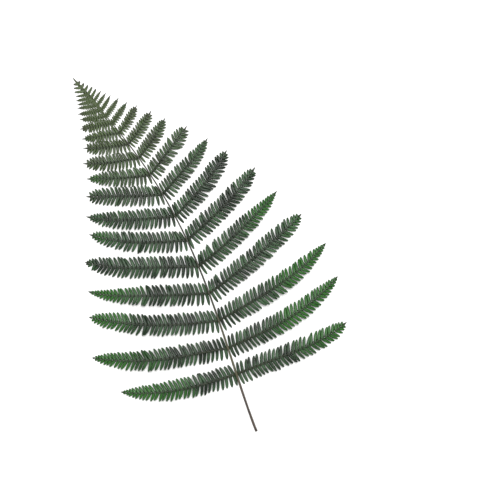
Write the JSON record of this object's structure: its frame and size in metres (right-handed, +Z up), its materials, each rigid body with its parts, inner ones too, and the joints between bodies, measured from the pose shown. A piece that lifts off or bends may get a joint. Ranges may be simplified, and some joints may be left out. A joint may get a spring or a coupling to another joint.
{
  "type": "preserved fern frond",
  "caption": "One flat-lying preserved fern frond: a slender stem that bows gently, with paired tapering side leaves cut to the midrib into small blunt leaflets.",
  "frame": {"origin": "on the surface that the frond lies on, under the centre of its bounding box", "axes": "+Y from the cut end of the stem towards the tip of the frond, +Z up off the surface, +X to the right as seen from above"},
  "size_m": [0.3154, 0.4782, 0.0115],
  "materials": {
    "preserved_leaf": "dry, supple preserved leaf: matt grey sage green with a faint waxy sheen, darker olive brown on the stem"
  },
  "bodies": {
    "root": {"fern_frond": "preserved_leaf"}
  },
  "joints": []
}
